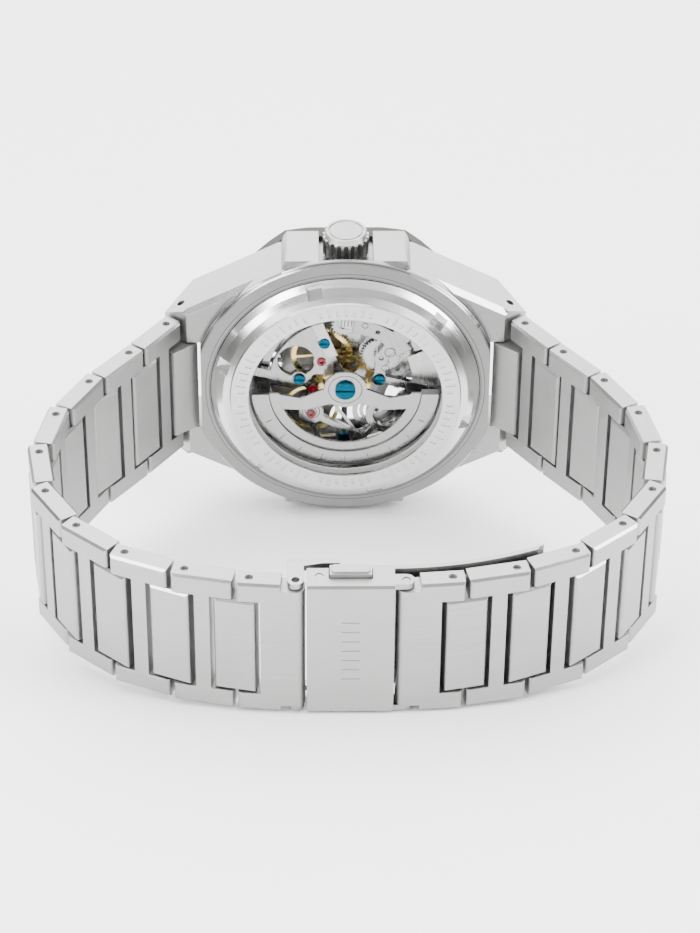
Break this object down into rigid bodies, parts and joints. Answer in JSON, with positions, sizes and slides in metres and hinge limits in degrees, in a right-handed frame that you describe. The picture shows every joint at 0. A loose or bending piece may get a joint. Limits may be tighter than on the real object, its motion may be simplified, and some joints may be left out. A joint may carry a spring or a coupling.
{
  "type": "skeleton wristwatch",
  "caption": "automatic skeleton wristwatch with display back, octagonal bezel and steel H-link bracelet closed by a folding push-button clasp",
  "frame": {"origin": "centre of the caseback's flat ring, on the watch's axis", "axes": "+Y from the caseback to the dial, +Z towards the crown at 3 o'clock, +X towards 12 o'clock"},
  "size_m": [0.0808, 0.0637, 0.0434],
  "materials": {
    "steel": "satin brushed with polished edges",
    "bezel": "dark grey coating",
    "glass": "clear",
    "seal": "matte",
    "plates": "nickel plated, lightly brushed",
    "gilt": "gilt, polished",
    "blued": "heat blued",
    "ruby": "polished synthetic ruby",
    "hands": "polished"
  },
  "bodies": {
    "case": {"case_middle": "steel", "bezel": "bezel", "crystal": "glass", "caseback_ring": "steel", "caseback_glass": "glass", "case_gaskets": "seal", "lug_spring_bars": "steel", "movement_holder": "plates", "mainplate": "plates", "barrel_bridge": "plates", "train_bridge": "plates", "balance_cock": "plates", "movement_screws": "blued", "jewels": "ruby", "dial": "plates", "hour_markers": "hands"},
    "crown_seal": {"crown_seal": "seal"},
    "crown": {"crown": "steel"},
    "rotor": {"rotor": "plates", "rotor_screw": "blued"},
    "barrel": {"barrel": "plates"},
    "centre": {"centre_wheel": "gilt", "minute_hand": "hands"},
    "third": {"third_wheel": "gilt"},
    "fourth": {"fourth_wheel": "gilt", "seconds_hand": "hands"},
    "escape": {"escape_wheel": "plates"},
    "pallet_fork": {"pallet_fork": "plates"},
    "balance": {"balance": "gilt", "hairspring": "blued"},
    "hour": {"hour_hand": "hands"},
    "end_piece_r": {"end_piece_r": "steel"},
    "link_r1": {"link_r1": "steel"},
    "link_r2": {"link_r2": "steel"},
    "link_r3": {"link_r3": "steel"},
    "link_r4": {"link_r4": "steel"},
    "link_r5": {"link_r5": "steel"},
    "link_r6": {"link_r6": "steel"},
    "link_r7": {"link_r7": "steel"},
    "link_r8": {"link_r8": "steel"},
    "link_r9": {"link_r9": "steel"},
    "end_link_r": {"end_link_r": "steel"},
    "end_piece_l": {"end_piece_l": "steel"},
    "link_l1": {"link_l1": "steel"},
    "link_l2": {"link_l2": "steel"},
    "link_l3": {"link_l3": "steel"},
    "link_l4": {"link_l4": "steel"},
    "link_l5": {"link_l5": "steel"},
    "link_l6": {"link_l6": "steel"},
    "link_l7": {"link_l7": "steel"},
    "link_l8": {"link_l8": "steel"},
    "link_l9": {"link_l9": "steel"},
    "end_link_l": {"end_link_l": "steel"},
    "clasp_cover": {"clasp_cover": "steel"},
    "blade_outer": {"blade_outer": "steel"},
    "blade_inner": {"blade_inner": "steel"},
    "pusher_crown_side": {"pusher_crown_side": "steel"},
    "pusher_far_side": {"pusher_far_side": "steel"}
  },
  "joints": [
    {"name": "crown_pull", "type": "slide", "parent": "case", "child": "crown_seal", "axis": [0, 0, 1], "range_m": [0, 0.0012]},
    {"name": "crown_turn", "type": "hinge", "parent": "crown_seal", "child": "crown", "pos_m": [0, 0.007, 0.02], "axis": [0, 0, 1], "continuous": true},
    {"name": "rotor_spin", "type": "hinge", "parent": "case", "child": "rotor", "pos_m": [0, 0.003, 0], "axis": [0, -1, 0], "continuous": true},
    {"name": "barrel_turn", "type": "hinge", "parent": "case", "child": "barrel", "pos_m": [0.00482, 0.006, 0.0039], "axis": [0, -1, 0], "continuous": true},
    {"name": "centre_turn", "type": "hinge", "parent": "case", "child": "centre", "pos_m": [0, 0.007, 0], "axis": [0, -1, 0], "continuous": true},
    {"name": "third_turn", "type": "hinge", "parent": "case", "child": "third", "pos_m": [-0.0032, 0.006, 0.0034], "axis": [0, -1, 0], "continuous": true},
    {"name": "fourth_turn", "type": "hinge", "parent": "case", "child": "fourth", "pos_m": [0, 0.006, 0], "axis": [0, -1, 0], "continuous": true},
    {"name": "escape_turn", "type": "hinge", "parent": "case", "child": "escape", "pos_m": [-0.00435, 0.006, -0.00116], "axis": [0, -1, 0], "continuous": true},
    {"name": "hour_turn", "type": "hinge", "parent": "case", "child": "hour", "pos_m": [0, 0.0098, 0], "axis": [0, -1, 0], "continuous": true},
    {"name": "fork_swing", "type": "hinge", "parent": "case", "child": "pallet_fork", "pos_m": [-0.00451, 0.006, -0.00386], "axis": [0, -1, 0], "range_deg": [-8, 8]},
    {"name": "balance_swing", "type": "hinge", "parent": "case", "child": "balance", "pos_m": [-0.0046, 0.0053, -0.0053], "axis": [0, -1, 0], "range_deg": [-270, 270], "deforming": ["hairspring"]},
    {"name": "lug_hinge_r", "type": "hinge", "parent": "case", "child": "end_piece_r", "pos_m": [0.0219, 0.0059, 0], "axis": [0, 0, 1], "range_deg": [0, 15]},
    {"name": "link_hinge_r1", "type": "hinge", "parent": "end_piece_r", "child": "link_r1", "pos_m": [0.0238, 0.0029, 0], "axis": [0, 0, 1], "range_deg": [0, 8]},
    {"name": "link_hinge_r2", "type": "hinge", "parent": "link_r1", "child": "link_r2", "pos_m": [0.02847, -0.00353, 0], "axis": [0, 0, 1], "range_deg": [0, 3]},
    {"name": "link_hinge_r3", "type": "hinge", "parent": "link_r2", "child": "link_r3", "pos_m": [0.03337, -0.0098, 0], "axis": [0, 0, 1], "range_deg": [0, 14]},
    {"name": "link_hinge_r4", "type": "hinge", "parent": "link_r3", "child": "link_r4", "pos_m": [0.03722, -0.01675, 0], "axis": [0, 0, 1], "range_deg": [0, 22]},
    {"name": "link_hinge_r5", "type": "hinge", "parent": "link_r4", "child": "link_r5", "pos_m": [0.03887, -0.02453, 0], "axis": [0, 0, 1], "range_deg": [0, 26]},
    {"name": "link_hinge_r6", "type": "hinge", "parent": "link_r5", "child": "link_r6", "pos_m": [0.03763, -0.03238, 0], "axis": [0, 0, 1], "range_deg": [0, 28]},
    {"name": "link_hinge_r7", "type": "hinge", "parent": "link_r6", "child": "link_r7", "pos_m": [0.03342, -0.03912, 0], "axis": [0, 0, 1], "range_deg": [0, 23]},
    {"name": "link_hinge_r8", "type": "hinge", "parent": "link_r7", "child": "link_r8", "pos_m": [0.02733, -0.04423, 0], "axis": [0, 0, 1], "range_deg": [0, 22]},
    {"name": "link_hinge_r9", "type": "hinge", "parent": "link_r8", "child": "link_r9", "pos_m": [0.02001, -0.04734, 0], "axis": [0, 0, 1], "range_deg": [0, 16]},
    {"name": "end_link_hinge_r", "type": "hinge", "parent": "link_r9", "child": "end_link_r", "pos_m": [0.01223, -0.04899, 0], "axis": [0, 0, 1], "range_deg": [0, 12]},
    {"name": "lug_hinge_l", "type": "hinge", "parent": "case", "child": "end_piece_l", "pos_m": [-0.0219, 0.0059, 0], "axis": [0, 0, -1], "range_deg": [0, 15]},
    {"name": "link_hinge_l1", "type": "hinge", "parent": "end_piece_l", "child": "link_l1", "pos_m": [-0.0238, 0.0029, 0], "axis": [0, 0, -1], "range_deg": [0, 8]},
    {"name": "link_hinge_l2", "type": "hinge", "parent": "link_l1", "child": "link_l2", "pos_m": [-0.02847, -0.00353, 0], "axis": [0, 0, -1], "range_deg": [0, 3]},
    {"name": "link_hinge_l3", "type": "hinge", "parent": "link_l2", "child": "link_l3", "pos_m": [-0.03337, -0.0098, 0], "axis": [0, 0, -1], "range_deg": [0, 14]},
    {"name": "link_hinge_l4", "type": "hinge", "parent": "link_l3", "child": "link_l4", "pos_m": [-0.03722, -0.01675, 0], "axis": [0, 0, -1], "range_deg": [0, 22]},
    {"name": "link_hinge_l5", "type": "hinge", "parent": "link_l4", "child": "link_l5", "pos_m": [-0.03887, -0.02453, 0], "axis": [0, 0, -1], "range_deg": [0, 26]},
    {"name": "link_hinge_l6", "type": "hinge", "parent": "link_l5", "child": "link_l6", "pos_m": [-0.03763, -0.03238, 0], "axis": [0, 0, -1], "range_deg": [0, 28]},
    {"name": "link_hinge_l7", "type": "hinge", "parent": "link_l6", "child": "link_l7", "pos_m": [-0.03342, -0.03912, 0], "axis": [0, 0, -1], "range_deg": [0, 23]},
    {"name": "link_hinge_l8", "type": "hinge", "parent": "link_l7", "child": "link_l8", "pos_m": [-0.02733, -0.04423, 0], "axis": [0, 0, -1], "range_deg": [0, 22]},
    {"name": "link_hinge_l9", "type": "hinge", "parent": "link_l8", "child": "link_l9", "pos_m": [-0.02001, -0.04734, 0], "axis": [0, 0, -1], "range_deg": [0, 16]},
    {"name": "end_link_hinge_l", "type": "hinge", "parent": "link_l9", "child": "end_link_l", "pos_m": [-0.01223, -0.04899, 0], "axis": [0, 0, -1], "range_deg": [0, 12]},
    {"name": "clasp_cover_hinge", "type": "hinge", "parent": "end_link_r", "child": "clasp_cover", "pos_m": [0.00665, -0.04948, 0], "axis": [0, 0, 1], "range_deg": [0, 60]},
    {"name": "blade_outer_hinge", "type": "hinge", "parent": "clasp_cover", "child": "blade_outer", "pos_m": [-0.0038, -0.04873, 0], "axis": [0, 0, 1], "range_deg": [0, 60]},
    {"name": "blade_fold_hinge", "type": "hinge", "parent": "blade_outer", "child": "blade_inner", "pos_m": [0.02408, -0.04299, 0], "axis": [0, 0, 1], "range_deg": [-60, 0]},
    {"name": "pusher_crown_side_press", "type": "slide", "parent": "clasp_cover", "child": "pusher_crown_side", "axis": [0, 0, -1], "range_m": [0, 0.0006], "stiffness_N_per_m": 3000, "springref_m": -0.0003},
    {"name": "pusher_far_side_press", "type": "slide", "parent": "clasp_cover", "child": "pusher_far_side", "axis": [0, 0, 1], "range_m": [0, 0.0006], "stiffness_N_per_m": 3000, "springref_m": -0.0003}
  ],
  "couplings": [
    {"joint": "barrel_turn", "follows": "fourth_turn", "ratio": -0.0027778},
    {"joint": "third_turn", "follows": "fourth_turn", "ratio": -0.13333},
    {"joint": "centre_turn", "follows": "fourth_turn", "ratio": 0.016667},
    {"joint": "escape_turn", "follows": "fourth_turn", "ratio": -6},
    {"joint": "hour_turn", "follows": "fourth_turn", "ratio": 0.0013889},
    {"joint": "blade_fold_hinge", "follows": "blade_outer_hinge", "ratio": -1}
  ]
}
